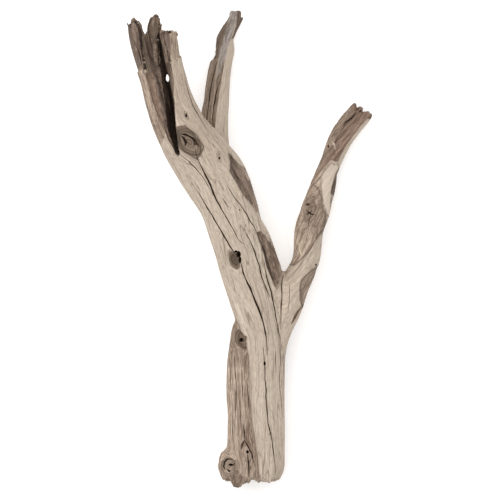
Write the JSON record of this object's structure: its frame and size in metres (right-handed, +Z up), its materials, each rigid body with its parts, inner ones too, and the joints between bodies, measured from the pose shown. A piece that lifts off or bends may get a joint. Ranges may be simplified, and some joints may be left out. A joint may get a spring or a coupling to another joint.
{
  "type": "manzanita driftwood",
  "caption": "Dry forked limb of weathered manzanita lying on its back, with a hollow broken crown, a slender back limb, a twisted right limb and a knobby burl at its foot.",
  "frame": {"origin": "on the ground under the middle of the piece's bounding box", "axes": "+Y from the trunk's foot towards the limbs' tips, +Z up from the ground, +X towards the side of the thinner twisted limb"},
  "size_m": [0.2305, 0.4513, 0.0951],
  "materials": {
    "weathered_wood": "bare silvered wood, matt, with open grain, drying checks, knots and darker wood where the pale outer layer has gone"
  },
  "bodies": {
    "root": {"driftwood": "weathered_wood"}
  },
  "joints": []
}
